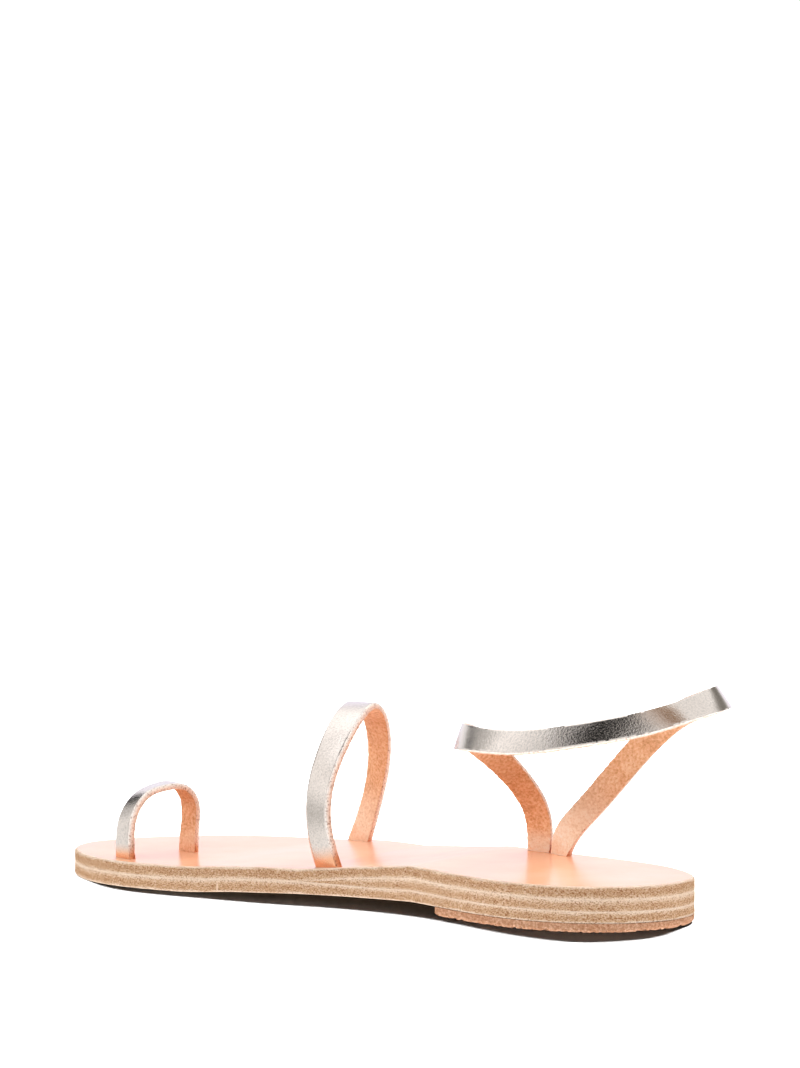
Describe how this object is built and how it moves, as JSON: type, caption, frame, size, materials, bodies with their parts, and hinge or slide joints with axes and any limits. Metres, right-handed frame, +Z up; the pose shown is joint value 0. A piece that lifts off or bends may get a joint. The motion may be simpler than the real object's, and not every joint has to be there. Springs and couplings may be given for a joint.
{
  "type": "sandal",
  "caption": "Flat leather sandal for the right foot with a toe loop, an instep strap and an ankle strap on a layered leather sole with a rubber heel piece.",
  "frame": {"origin": "on the floor, under the middle of the sandal's box", "axes": "+X to the toe, +Y to the inner side of the foot, +Z up from the floor"},
  "size_m": [0.262, 0.0922, 0.081],
  "materials": {
    "sole_leather": "raw vegetable-tanned sole leather, sanded edge",
    "insole_leather": "smooth natural leather with a soft polish",
    "heel_rubber": "matt brown rubber with a fine grain",
    "strap_leather": "champagne silver foil on leather, raw suede inside"
  },
  "bodies": {
    "root": {"outsole": "sole_leather", "heel_lift": "sole_leather", "insole": "insole_leather", "heel_top_piece": "heel_rubber", "toe_strap": "strap_leather", "instep_strap": "strap_leather", "ankle_strap": "strap_leather"}
  },
  "joints": []
}
